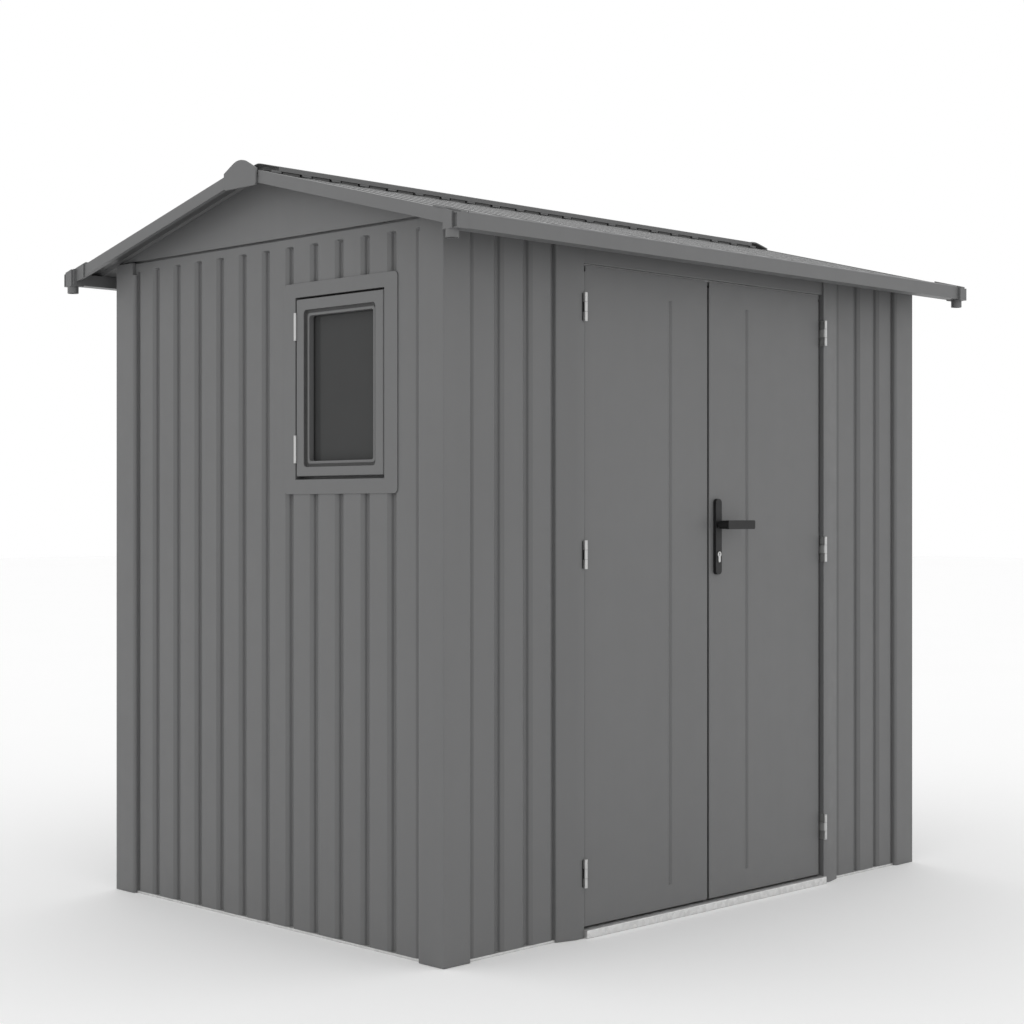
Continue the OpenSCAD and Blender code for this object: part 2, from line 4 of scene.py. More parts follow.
import bpy
import bmesh
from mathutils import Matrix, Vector


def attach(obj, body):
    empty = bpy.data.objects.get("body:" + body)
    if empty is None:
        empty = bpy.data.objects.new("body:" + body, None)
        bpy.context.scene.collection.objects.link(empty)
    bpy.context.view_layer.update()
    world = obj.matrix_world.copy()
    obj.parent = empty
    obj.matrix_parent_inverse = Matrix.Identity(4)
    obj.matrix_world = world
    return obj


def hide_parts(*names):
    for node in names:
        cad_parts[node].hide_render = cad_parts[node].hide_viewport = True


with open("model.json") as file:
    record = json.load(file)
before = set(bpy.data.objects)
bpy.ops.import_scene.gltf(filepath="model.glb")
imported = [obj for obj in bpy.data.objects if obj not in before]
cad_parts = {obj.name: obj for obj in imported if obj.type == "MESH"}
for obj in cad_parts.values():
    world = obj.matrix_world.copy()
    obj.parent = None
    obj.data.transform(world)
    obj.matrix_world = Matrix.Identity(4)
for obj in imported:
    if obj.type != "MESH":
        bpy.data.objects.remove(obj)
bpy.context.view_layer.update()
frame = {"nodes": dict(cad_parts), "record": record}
nodes = frame["nodes"]
scene = bpy.context.scene
body_of = {n: b for b, ns in frame["record"]["behaviour"]["bodies"].items() for n in ns}

# ------------------------------------------------------------------ dimensions (m)
HW, HD = 1.0925, 0.760          # half width and half depth over the posts
INSET = 0.011                   # wall sheet face behind the post faces
PITCH = 0.110                   # groove spacing
SHEET = 0.002
RAIL = 0.007
GROOVE_TOP = 1.949
TAN = math.tan(math.radians(14.2))
APEX = 2.1795


def rake(y):
    return APEX - TAN * abs(y)


def under(y):
    return rake(y) - 0.012 - SHEET / math.cos(math.radians(14.2))


# ------------------------------------------------------------------ camera
cam_data = bpy.data.cameras.new("camera")
cam = bpy.data.objects.new("camera", cam_data)
scene.collection.objects.link(cam)
cam.location = (-4.50787, -4.42786, 1.19240)
cam.rotation_euler = (math.radians(90), 0, math.radians(-45))
cam_data.lens = 67.56
cam_data.sensor_width = 36.0
cam_data.clip_end = 200
scene.camera = cam


# ------------------------------------------------------------------ materials
class Tree:
    """Small helper to wire a node material."""

    def __init__(self, name):
        self.mat = bpy.data.materials.new(name)
        self.mat.use_nodes = True
        self.nt = self.mat.node_tree
        self.nt.nodes.clear()
        self.out = self.add("ShaderNodeOutputMaterial")
        self.bsdf = self.add("ShaderNodeBsdfPrincipled")
        self.link(self.bsdf.outputs["BSDF"], self.out.inputs["Surface"])
        self.pos = self.add("ShaderNodeTexCoord").outputs["Object"]

    def add(self, kind, **props):
        n = self.nt.nodes.new(kind)
        for k, v in props.items():
            setattr(n, k, v)
        return n

    def link(self, a, b):
        self.nt.links.new(a, b)

    def noise(self, scale, detail=3.0, rough=0.5, stretch=None):
        n = self.add("ShaderNodeTexNoise")
        n.inputs["Scale"].default_value = scale
        n.inputs["Detail"].default_value = detail
        n.inputs["Roughness"].default_value = rough
        src = self.pos
        if stretch:
            m = self.add("ShaderNodeMapping")
            m.inputs["Scale"].default_value = stretch
            self.link(src, m.inputs["Vector"])
            src = m.outputs["Vector"]
        self.link(src, n.inputs["Vector"])
        return n.outputs["Fac"]

    def remap(self, value, a, b, c, d):
        n = self.add("ShaderNodeMapRange")
        self.link(value, n.inputs["Value"])
        for k, v in (("From Min", a), ("From Max", b), ("To Min", c), ("To Max", d)):
            n.inputs[k].default_value = v
        return n.outputs["Result"]

    def math(self, op, a, b):
        n = self.add("ShaderNodeMath", operation=op)
        for i, v in enumerate((a, b)):
            if isinstance(v, (int, float)):
                n.inputs[i].default_value = v
            else:
                self.link(v, n.inputs[i])
        return n.outputs[0]

    def mix(self, fac, a, b, blend="MIX"):
        n = self.add("ShaderNodeMix", data_type="RGBA", blend_type=blend)
        if isinstance(fac, (int, float)):
            n.inputs[0].default_value = fac
        else:
            self.link(fac, n.inputs[0])
        for i, v in ((6, a), (7, b)):
            if isinstance(v, tuple):
                n.inputs[i].default_value = (*v, 1) if len(v) == 3 else v
            else:
                self.link(v, n.inputs[i])
        return n.outputs[2]

    def bump(self, height, strength, distance, under=None):
        n = self.add("ShaderNodeBump")
        n.inputs["Strength"].default_value = strength
        n.inputs["Distance"].default_value = distance
        self.link(height, n.inputs["Height"])
        if under is not None:
            self.link(under, n.inputs["Normal"])
        return n.outputs["Normal"]

    def edges(self, radius, gain):
        """1 along bevelled and folded edges, 0 on flats."""
        b = self.add("ShaderNodeBevel", samples=4)
        b.inputs["Radius"].default_value = radius
        g = self.add("ShaderNodeNewGeometry")
        d = self.add("ShaderNodeVectorMath", operation="DOT_PRODUCT")
        self.link(b.outputs["Normal"], d.inputs[0])
        self.link(g.outputs["Normal"], d.inputs[1])
        v = self.math("SUBTRACT", 1.0, d.outputs["Value"])
        n = self.add("ShaderNodeMath", operation="MULTIPLY", use_clamp=True)
        self.link(v, n.inputs[0])
        n.inputs[1].default_value = gain
        return n.outputs[0]

    def occlusion_shade(self, distance):
        """Ambient-occlusion mask for painted shade: 0 in the open, towards 1 in corners and grooves."""
        n = self.add("ShaderNodeAmbientOcclusion", samples=4)
        n.inputs["Distance"].default_value = distance
        return self.math("SUBTRACT", 1.0, n.outputs["AO"])


def painted(name, color, rough, wear_and_highlight=0.18, fold_shade_strength=0.10, dust=0.10, peel=0.05):
    """Coil-coated sheet: faint mottling, orange peel, slow waviness of thin sheet, painted shade
    in the folds, rubbed edges lightened as wear and painted highlight, a little dust near the ground."""
    t = Tree(name)
    big = t.noise(1.6, 4, 0.55)
    streak = t.noise(1.0, 4, 0.6, stretch=(26, 26, 1.1))
    tone = t.remap(t.math("ADD", big, t.math("MULTIPLY", streak, 0.5)), 0.45, 1.05, 0.0, 1.0)
    lo = tuple(c * 0.965 for c in color)
    hi = tuple(c * 1.035 for c in color)
    col = t.mix(tone, lo, hi)
    # painted shade: the colour darkens in folds and crevices where ambient occlusion is high, mottled by noise
    fold_shade_mask = t.math("MULTIPLY", t.occlusion_shade(0.03), t.remap(t.noise(23, 4, 0.6), 0.3, 0.7, 0.5, 1.0))
    col = t.mix(t.math("MULTIPLY", fold_shade_mask, fold_shade_strength), col, tuple(c * 0.45 for c in color))
    # rubbed edges lightened: part wear, part painted highlight along the edges
    if wear_and_highlight:
        lighter_edges = t.math("MULTIPLY", t.edges(0.0022, 5.0), t.remap(t.noise(41, 5, 0.65), 0.35, 0.7, 0.25, 1.0))
        col = t.mix(t.math("MULTIPLY", lighter_edges, wear_and_highlight), col, tuple(min(1, c * 2.1 + 0.03) for c in color))
    if dust:
        z = t.add("ShaderNodeSeparateXYZ")
        t.link(t.pos, z.inputs[0])
        low = t.remap(z.outputs["Z"], 0.0, 0.22, 1.0, 0.0)
        spots = t.remap(t.noise(17, 5, 0.7), 0.4, 0.75, 0.0, 1.0)
        col = t.mix(t.math("MULTIPLY", t.math("MULTIPLY", low, spots), dust), col, (0.23, 0.22, 0.20))
    t.link(col, t.bsdf.inputs["Base Color"])
    r = t.remap(t.noise(13, 5, 0.6), 0.3, 0.7, rough - 0.045, rough + 0.06)
    t.link(r, t.bsdf.inputs["Roughness"])
    wave = t.bump(t.noise(2.6, 1.5, 0.4), 0.10, 0.004)
    t.link(t.bump(t.noise(620, 2, 0.5), peel, 0.0004, wave), t.bsdf.inputs["Normal"])
    t.bsdf.inputs["IOR"].default_value = 1.5
    return t.mat


def zinc(name, color, rough):
    """Hot-dip galvanised sheet: spangle, dull bloom."""
    t = Tree(name)
    v = t.add("ShaderNodeTexVoronoi", feature="F1")
    v.inputs["Scale"].default_value = 75
    v.inputs["Randomness"].default_value = 1.0
    t.link(t.pos, v.inputs["Vector"])
    cell = t.add("ShaderNodeSeparateColor")
    t.link(v.outputs["Color"], cell.inputs[0])
    bloom = t.remap(t.noise(7, 5, 0.6), 0.35, 0.7, 0.0, 1.0)
    col = t.mix(cell.outputs[0], tuple(c * 0.90 for c in color), tuple(min(1, c * 1.08) for c in color))
    col = t.mix(t.math("MULTIPLY", bloom, 0.25), col, tuple(c * 0.82 for c in color))
    # painted shade: darker in crevices where ambient occlusion is high
    col = t.mix(t.math("MULTIPLY", t.occlusion_shade(0.02), 0.35), col, (0.12, 0.115, 0.105))
    t.link(col, t.bsdf.inputs["Base Color"])
    t.link(t.remap(cell.outputs[1], 0, 1, rough - 0.06, rough + 0.08), t.bsdf.inputs["Roughness"])
    t.link(t.bump(t.noise(240, 3, 0.6), 0.08, 0.0004), t.bsdf.inputs["Normal"])
    t.bsdf.inputs["Metallic"].default_value = 0.75
    return t.mat


def bright(name, color, rough):
    """Drawn bright steel: fine lines along the length."""
    t = Tree(name)
    lines = t.noise(9, 3, 0.6, stretch=(90, 90, 4))
    col = t.mix(lines, tuple(c * 0.9 for c in color), tuple(min(1, c * 1.06) for c in color))
    # painted shade: darker in crevices where ambient occlusion is high
    col = t.mix(t.math("MULTIPLY", t.occlusion_shade(0.008), 0.5), col, (0.10, 0.10, 0.10))
    t.link(col, t.bsdf.inputs["Base Color"])
    t.link(t.remap(lines, 0.3, 0.7, rough - 0.05, rough + 0.08), t.bsdf.inputs["Roughness"])
    t.link(t.bump(lines, 0.06, 0.0003), t.bsdf.inputs["Normal"])
    t.bsdf.inputs["Metallic"].default_value = 0.9
    return t.mat


def black(name, color, rough):
    """Satin black coating with a fine grain and rubbed edges."""
    t = Tree(name)
    mott = t.noise(30, 4, 0.6)
    col = t.mix(mott, tuple(c * 0.8 for c in color), tuple(c * 1.25 for c in color))
    lighter_edges = t.math("MULTIPLY", t.edges(0.0014, 4.0), t.remap(t.noise(160, 4, 0.6), 0.4, 0.7, 0.1, 1.0))
    col = t.mix(t.math("MULTIPLY", lighter_edges, 0.35), col, tuple(c * 3.0 + 0.02 for c in color))
    t.link(col, t.bsdf.inputs["Base Color"])
    t.link(t.remap(mott, 0.3, 0.7, rough - 0.05, rough + 0.07), t.bsdf.inputs["Roughness"])
    t.link(t.bump(t.noise(1500, 2, 0.5), 0.10, 0.0003), t.bsdf.inputs["Normal"])
    t.bsdf.inputs["IOR"].default_value = 1.42
    return t.mat


def moulded(name, color, rough):
    """Moulded grey plastic: fine spark texture, faint flow marks."""
    t = Tree(name)
    flow = t.noise(9, 3, 0.5, stretch=(1, 4, 1))
    col = t.mix(flow, tuple(c * 0.95 for c in color), tuple(c * 1.05 for c in color))
    # painted shade: darker in crevices where ambient occlusion is high
    col = t.mix(t.math("MULTIPLY", t.occlusion_shade(0.012), 0.25), col, tuple(c * 0.4 for c in color))
    lighter_edges = t.edges(0.0016, 4.0)
    col = t.mix(t.math("MULTIPLY", lighter_edges, 0.16), col, tuple(min(1, c * 1.9 + 0.02) for c in color))
    t.link(col, t.bsdf.inputs["Base Color"])
    t.link(t.remap(flow, 0.3, 0.7, rough - 0.04, rough + 0.06), t.bsdf.inputs["Roughness"])
    t.link(t.bump(t.noise(900, 2, 0.5), 0.12, 0.0004), t.bsdf.inputs["Normal"])
    return t.mat


def rubber(name, color):
    t = Tree(name)
    n = t.noise(60, 4, 0.6)
    t.link(t.mix(n, tuple(c * 0.7 for c in color), tuple(c * 1.4 for c in color)), t.bsdf.inputs["Base Color"])
    t.link(t.remap(n, 0.3, 0.7, 0.6, 0.8), t.bsdf.inputs["Roughness"])
    t.link(t.bump(t.noise(700, 2, 0.5), 0.2, 0.0003), t.bsdf.inputs["Normal"])
    return t.mat


def pane(name):
    """Clear sheet with a faint haze."""
    t = Tree(name)
    haze = t.noise(11, 4, 0.6)
    t.link(t.remap(haze, 0.3, 0.75, 0.07, 0.12), t.bsdf.inputs["Roughness"])
    # dark base colour: painted shade of the dark inside seen through the clear sheet, transmission kept low
    t.link(t.mix(haze, (0.057, 0.058, 0.058), (0.064, 0.065, 0.065)), t.bsdf.inputs["Base Color"])
    t.link(t.bump(t.noise(2.2, 1, 0.4), 0.05, 0.002), t.bsdf.inputs["Normal"])
    t.bsdf.inputs["IOR"].default_value = 1.18
    t.bsdf.inputs["Transmission Weight"].default_value = 0.12
    return t.mat


GREY = (0.131, 0.132, 0.133)
M_SHEET = painted("sheet_paint", GREY, 0.46)
M_ROOF = painted("roof_paint", GREY, 0.25, dust=0.0)
# gables take a lighter copy of the wall grey: painted light on the gables
M_GABLE_LIGHTENED = painted("gable_paint_lightened", tuple(c * 1.06 for c in GREY), 0.46, dust=0.0)
# darker copy of the grey for the downward roof faces: painted shade under the roof, given as a backing coat
M_UNDERSIDE_SHADE = painted("underside_shade_coat", tuple(c * 0.62 for c in GREY), 0.5, wear_and_highlight=0.0, dust=0.0)
# lighter copy of the grey: painted highlight on the gutter beads and painted light on the tie rails in the
# wall-to-gable gap
M_LIGHTENED_GREY = painted("lightened_grey_paint", tuple(c * 1.5 for c in GREY), 0.35, dust=0.0)
M_TRIM = painted("trim_paint", GREY, 0.47, dust=0.0)
M_DOOR = painted("door_paint", GREY, 0.46, fold_shade_strength=0.08)
M_MOULD = moulded("grey_moulding", GREY, 0.5)
M_ZINC = zinc("galvanised", (0.76, 0.76, 0.755), 0.42)
M_BRIGHT = bright("bright_steel", (0.55, 0.55, 0.545), 0.36)
M_BLACK = black("black_metal", (0.008, 0.008, 0.0085), 0.46)
# black: real rubber on the window gasket; painted shade for the hinge pads, the plates behind the ridge end caps and
# the key slot
M_BLACK_RUBBER_AND_SHADE = rubber("black_rubber_and_painted_shade", (0.012, 0.012, 0.012))
# light grey seen through the gap over the door leaves: painted light in the gap
M_GAP_LIGHT_GREY = rubber("gap_lightening_grey", (0.30, 0.30, 0.30))
M_STRIP = rubber("dark_seal_and_slot_shade", (0.065, 0.065, 0.065))
M_FOAM = rubber("grey_foam", (0.075, 0.075, 0.075))
M_PANE = pane("pane")

SLOT_MATERIAL = {"grey_sheet": M_SHEET, "galvanised": M_ZINC, "bright_steel": M_BRIGHT,
                 "black_metal": M_BLACK, "grey_moulding": M_MOULD, "pane": M_PANE}
node_slot = {s["node"]: s["material_slot"] for s in frame["record"]["subparts"]}


# ------------------------------------------------------------------ mesh helpers
def finish_mesh(bm, name, mat, body, stands_for=(), sharp=40):
    bmesh.ops.recalc_face_normals(bm, faces=bm.faces)
    me = bpy.data.meshes.new(name)
    bm.to_mesh(me)
    bm.free()
    me.polygons.foreach_set("use_smooth", [True] * len(me.polygons))
    me.set_sharp_from_angle(angle=math.radians(sharp))
    ob = bpy.data.objects.new(name, me)
    scene.collection.objects.link(ob)
    me.materials.append(mat)
    w = ob.modifiers.new("normals", "WEIGHTED_NORMAL")
    w.keep_sharp = True
    w.weight = 90
    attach(ob, body)
    if stands_for:
        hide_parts(*stands_for)
    return ob


def dressed(node, width, segments=2, mat=None, angle=26, merge=True):
    """The node's own shape with its edges rounded as folded or moulded ones are."""
    bm = bmesh.new()
    bm.from_mesh(nodes[node].data)
    bmesh.ops.remove_doubles(bm, verts=bm.verts, dist=3e-5)
    bmesh.ops.dissolve_degenerate(bm, dist=1e-6, edges=bm.edges)
    if merge:
        bmesh.ops.dissolve_limit(bm, angle_limit=math.radians(0.4), verts=bm.verts, edges=bm.edges)
    if width:
        edges = [e for e in bm.edges if len(e.link_faces) == 2 and e.calc_face_angle(0) > math.radians(angle)]
        bmesh.ops.bevel(bm, geom=edges, offset=width, offset_type="OFFSET", segments=segments,
                        profile=0.5, affect="EDGES", clamp_overlap=True)
    slot = node_slot[node]
    return finish_mesh(bm, node + "_skin", mat or SLOT_MATERIAL[slot], body_of[node], (node,))


# ------------------------------------------------------------------ grooved wall sheets
G_HALF, G_FLOOR, G_DEPTH, G_SOFT = 0.0196, 0.00695, 0.0089, 0.0006     # sloping sides
C_HALF, C_DEPTH, C_SOFT = 0.0079, 0.0051, 0.0017                       # channel between the shoulders
G_SPAN = 0.0204
G_REL = (0.0, 0.0025, 0.0046, 0.0056, 0.0064, 0.0072, 0.0080, 0.0088, 0.0096, 0.0104, 0.0114, 0.0140,
         0.0165, 0.0186, 0.0192, 0.0198, 0.0204)


def groove_depth(t):
    """Depth of a pressed groove at a distance t from its middle: sloping sides down to
    the shoulders, then a narrow channel, corners softened."""
    total, n = 0.0, 12
    for i in range(-n, n + 1):
        a = abs(t + G_SOFT * i / n)
        total += G_DEPTH * min(1.0, max(0.0, (G_HALF - a) / (G_HALF - G_FLOOR)))
        a = abs(t + C_SOFT * i / n)
        total += C_DEPTH * min(1.0, max(0.0, (C_HALF + 0.00075 - a) / 0.0015))
    return total / (2 * n + 1)


S_REL = (-0.0006, -0.0002, 0.0002, 0.0006, 0.0015, 0.0030, 0.0060, 0.0090, 0.0120, 0.0150, 0.0166, 0.0174)


def slot_depth(t, deep):
    """Depth of the slot beside a post or jamb: upright at t = 0, then sloping back up to the sheet's face."""
    total, n = 0.0, 8
    for i in range(-n, n + 1):
        a = t + 0.0004 * i / n
        if a >= 0:
            total += deep * min(1.0, max(0.0, (0.017 - a) / 0.0155))
    return total / (2 * n + 1)


def end_fade(z, top):
    x = min(1.0, max(0.0, (top - z) / 0.006))
    return x * x * (3 - 2 * x)


def grooved_sheet(node, u0, u1, z1, grooves, slots, place, mat, hole=None):
    rel = sorted({r for v in G_REL for r in (v, -v)})
    us = {u0, u1}
    for g in grooves:
        us.update(round(g + r, 6) for r in rel if u0 < g + r < u1)
    for g, way, deep in slots:
        us.update(round(g + way * r, 6) for r in S_REL if u0 < g + way * r < u1)
    zs = {RAIL, z1, GROOVE_TOP}
    zs.update(GROOVE_TOP - 0.0006 * k for k in range(1, 12))
    zs.update(RAIL + (GROOVE_TOP - 0.015 - RAIL) * k / 14 for k in range(1, 15))
    if hole:
        us.update((hole[0], hole[1]))
        zs.update((hole[2], hole[3]))
    # drop near-coincident lines, keeping the hole's own
    def thin(values, keep):
        out = []
        for v in sorted(values):
            if out and v - out[-1] < 2e-4:
                if v in keep:
                    out[-1] = v
                continue
            out.append(v)
        return out
    us = thin(us, (u0, u1) + (tuple(hole[:2]) if hole else ()))
    zs = thin(zs, (RAIL, z1) + (tuple(hole[2:]) if hole else ()))
    bm = bmesh.new()
    depth = {}
    for i, u in enumerate(us):
        d = max([groove_depth(u - g) for g in grooves if abs(u - g) < 0.04] +
                [slot_depth((u - g) * way, deep) for g, way, deep in slots if abs(u - g) < 0.04] + [0.0])
        for k, z in enumerate(zs):
            depth[i, k] = d * end_fade(z, GROOVE_TOP)
    front = {(i, k): bm.verts.new(place(u, depth[i, k], z)) for i, u in enumerate(us) for k, z in enumerate(zs)}
    back = {(i, k): bm.verts.new(place(u, depth[i, k] + SHEET, z)) for i, u in enumerate(us) for k, z in enumerate(zs)}

    def is_cell(i, k):
        if not (0 <= i < len(us) - 1 and 0 <= k < len(zs) - 1):
            return False
        if hole:
            um, zm = (us[i] + us[i + 1]) / 2, (zs[k] + zs[k + 1]) / 2
            if hole[0] < um < hole[1] and hole[2] < zm < hole[3]:
                return False
        return True

    for i in range(len(us) - 1):
        for k in range(len(zs) - 1):
            if not is_cell(i, k):
                continue
            ring = [(i, k), (i + 1, k), (i + 1, k + 1), (i, k + 1)]
            bm.faces.new([front[c] for c in ring])
            bm.faces.new([back[c] for c in reversed(ring)])
            for (di, dk), (a, b) in {(0, -1): (ring[0], ring[1]), (1, 0): (ring[1], ring[2]),
                                     (0, 1): (ring[2], ring[3]), (-1, 0): (ring[3], ring[0])}.items():
                if not is_cell(i + di, k + dk):
                    bm.faces.new([front[a], back[a], back[b], front[b]])
    loose = [v for v in bm.verts if not v.link_faces]
    bmesh.ops.delete(bm, geom=loose, context="VERTS")
    return finish_mesh(bm, node + "_skin", mat, body_of[node], (node,), sharp=50)


side_g = [k * PITCH + 0.0055 for k in range(-5, 6)]
side_s = [(-0.657, 1, 0.0095), (0.657, -1, 0.007)]
side_end = HD - INSET - 0.0005
wall_end = HW - INSET - 0.014 - SHEET - 0.0025
front_top = under(HD - INSET) - 0.0003
win = dict(y0=-0.5135, y1=-0.1375, z0=1.293, z1=1.797)
grooved_sheet("left_wall", -side_end, side_end, 1.969, side_g, side_s, lambda u, v, z: (-HW + INSET + v, u, z), M_SHEET,
              hole=(win["y0"] - 0.005, win["y1"] + 0.005, win["z0"] - 0.011, win["z1"] + 0.005))
grooved_sheet("right_wall", -side_end, side_end, 1.969, side_g, side_s, lambda u, v, z: (HW - INSET - v, u, z), M_SHEET)
grooved_sheet("front_left_wall", -wall_end, -0.643, front_top, [0.0025 - k * PITCH for k in (7, 8)], [(-0.9895, 1, 0.0095), (-0.662, -1, 0.007)],
              lambda u, v, z: (u, -HD + INSET + v, z), M_SHEET)
grooved_sheet("front_right_wall", 0.643, wall_end, front_top, [0.010 + k * PITCH for k in (7, 8)], [(0.9895, -1, 0.007), (0.662, 1, 0.007)],
              lambda u, v, z: (u, -HD + INSET + v, z), M_SHEET)
grooved_sheet("back_wall", -wall_end, wall_end, front_top, [k * PITCH for k in range(-8, 9)], [(-0.9895, 1, 0.007), (0.9895, -1, 0.007)],
              lambda u, v, z: (u, HD - INSET - v, z), M_SHEET)


# ------------------------------------------------------------------ window casement
def rounded_loop(y0, y1, z0, z1, r, n=7):
    pts = []
    for cy, cz, a0 in ((y1 - r, z1 - r, 0), (y0 + r, z1 - r, 90), (y0 + r, z0 + r, 180), (y1 - r, z0 + r, 270)):
        for i in range(n):
            a = math.radians(a0 + 90 * i / (n - 1))
            pts.append((cy + r * math.cos(a), cz + r * math.sin(a)))
    return pts


def window_ring(name, profile, mat, stands_for=()):
    """A closed frame: each profile point is (inset from the casement's outer edge, depth behind its face, corner radius).
    The lower rail is narrower than the other three."""
    bm = bmesh.new()
    rings = []
    for inset, depth, r in profile:
        low = win["z0"] + inset - 0.0075 * min(1.0, inset / 0.033)
        ease = max(0.0, 1.0 - inset / 0.033)
        pts = rounded_loop(win["y0"] + inset + 0.0012 * ease, win["y1"] - inset - 0.0012 * ease, low, win["z1"] - inset - 0.0022 * ease, r)
        rings.append([bm.verts.new((FACE_X + depth, y, z)) for y, z in pts])
    for a, b in zip(rings, rings[1:] + rings[:1]):
        for i in range(len(a)):
            j = (i + 1) % len(a)
            bm.faces.new([a[i], a[j], b[j], b[i]])
    return finish_mesh(bm, name, mat, "shed", stands_for, sharp=50)


FACE_X = -HW + INSET - 0.003
window_ring("window_casement_skin", [
    (0.0, 0.0325, 0.0030), (0.0, 0.0050, 0.0030), (0.0006, 0.0022, 0.0030), (0.0016, 0.0006, 0.0030), (0.0030, 0.0, 0.0030),
    (0.0330, 0.0, 0.011), (0.0337, 0.0003, 0.011), (0.0340, 0.0010, 0.011),
    (0.0343, 0.0105, 0.011), (0.0350, 0.0112, 0.011), (0.0417, 0.0112, 0.009), (0.0424, 0.0106, 0.009),
    (0.0428, 0.0078, 0.009), (0.0435, 0.0070, 0.009), (0.0494, 0.0068, 0.007), (0.0502, 0.0072, 0.007),
    (0.0505, 0.0080, 0.007), (0.0506, 0.0170, 0.007), (0.0506, 0.0276, 0.007),
    (0.0410, 0.0277, 0.004), (0.0410, 0.0325, 0.004)],
    M_SHEET, ("window_casement",))
window_ring("window_gasket", [
    (0.0502, 0.0228, 0.007), (0.0510, 0.0226, 0.007), (0.0517, 0.0232, 0.0065), (0.0519, 0.0245, 0.0065),
    (0.0519, 0.0276, 0.0065), (0.0502, 0.0276, 0.007)], M_BLACK_RUBBER_AND_SHADE)
# dark lining of the slot inside the casement face: a glazing seal, its dark grey also painting the shade in the slot
window_ring("window_glazing_seal_and_shade", [
    (0.0337, 0.0020, 0.011), (0.0344, 0.0018, 0.011), (0.0348, 0.0100, 0.011), (0.0356, 0.0107, 0.011),
    (0.0412, 0.0107, 0.009), (0.0414, 0.0116, 0.009), (0.0340, 0.0116, 0.011)], M_STRIP)

# ------------------------------------------------------------------ the other nodes, edges rounded
for n in ("front_left_post", "front_right_post", "back_left_post", "back_right_post"):
    dressed(n, 0.0012, 2)
for n in ("left_base_rail", "right_base_rail", "back_base_rail", "front_base_rails"):
    dressed(n, 0.0006, 2)
dressed("door_sill", 0.0015, 3)
# gables in the lighter grey: painted light
for n in ("left_gable", "right_gable"):
    dressed(n, 0.0005, 1, M_GABLE_LIGHTENED)
# tie rails in the lighter grey: painted light in the gap between the walls and the gables
dressed("tie_rails", 0.0005, 1, M_LIGHTENED_GREY)
for n in ("left_jamb", "right_jamb"):
    dressed(n, 0.0012, 2)
dressed("door_header", 0.0015, 2)
dressed("window_surround", 0.0008, 2)
dressed("window_glass", 0.0003, 1)
dressed("window_hinges", 0.0008, 2)
for n in ("front_roof", "back_roof"):
    ob = dressed(n, 0.0007, 2, M_ROOF)
    # the downward faces take a darker grey: a backing coat, darkened to paint the shade under the roof
    ob.data.materials.append(M_UNDERSIDE_SHADE)
    for f in ob.data.polygons:
        if f.normal.z < -0.3:
            f.material_index = 1
dressed("ridge_cap", 0.0005, 1, M_TRIM, angle=50)
dressed("ridge_end_caps", 0.0016, 3, angle=40)
for n in ("left_barge_boards", "right_barge_boards", "front_gutter", "back_gutter"):
    dressed(n, 0.0007, 2, M_TRIM)
for n in ("front_left_gutter_cap", "front_right_gutter_cap", "back_left_gutter_cap", "back_right_gutter_cap"):
    dressed(n, 0.0005, 1, merge=False)
for n in ("left_frame_hinges", "right_frame_hinges", "left_door_hinges", "right_door_hinges"):
    dressed(n, 0.0006, 2)
for n in ("left_door_leaf", "right_door_leaf"):
    dressed(n, 0.0009, 2, M_DOOR)
dressed("handle_plate", 0.0022, 3, angle=40)
dressed("lock_cylinder", 0.0006, 2, angle=40)
lever = dressed("door_lever", 0.0026, 4, angle=40)
for v in lever.data.vertices:
    # the bar in front of the backplate is a little taller, its neck is not
    if v.co.y < -0.7755 and math.hypot(v.co.x - 0.032, v.co.z - 1.154) > 0.0088:
        v.co.z = 1.154 + (v.co.z - 1.154) * 1.16

# ------------------------------------------------------------------ small parts
def prism(bm, pts, place, a, b, lip):
    """A plate from a closed outline, between depths a and b, its front rim eased by lip."""
    cx = sum(p[0] for p in pts) / len(pts)
    cy = sum(p[1] for p in pts) / len(pts)

    def ring(d, ease):
        out = []
        for x, y in pts:
            l = math.hypot(x - cx, y - cy)
            f = max(0.0, 1 - ease / l) if l else 1.0
            out.append(bm.verts.new(place(cx + (x - cx) * f, cy + (y - cy) * f, d)))
        return out
    s = 1 if b > a else -1
    rings = [ring(a, 0.0), ring(b - s * lip, 0.0), ring(b - s * lip * 0.3, lip * 0.3), ring(b, lip)]
    for p, q in zip(rings, rings[1:]):
        for i in range(len(pts)):
            j = (i + 1) % len(pts)
            bm.faces.new([p[i], p[j], q[j], q[i]])
    bm.faces.new(rings[0])
    bm.faces.new(rings[-1])


def slot_outline(w, h, n=8):
    """Upright plate with round ends."""
    r = w / 2
    pts = []
    for i in range(n + 1):
        a = math.pi * i / n
        pts.append((r * math.cos(a), h / 2 - r + r * math.sin(a)))
    for i in range(n + 1):
        a = math.pi + math.pi * i / n
        pts.append((r * math.cos(a), -h / 2 + r + r * math.sin(a)))
    return pts


def disc(r, n=20):
    return [(r * math.cos(2 * math.pi * i / n), r * math.sin(2 * math.pi * i / n)) for i in range(n)]


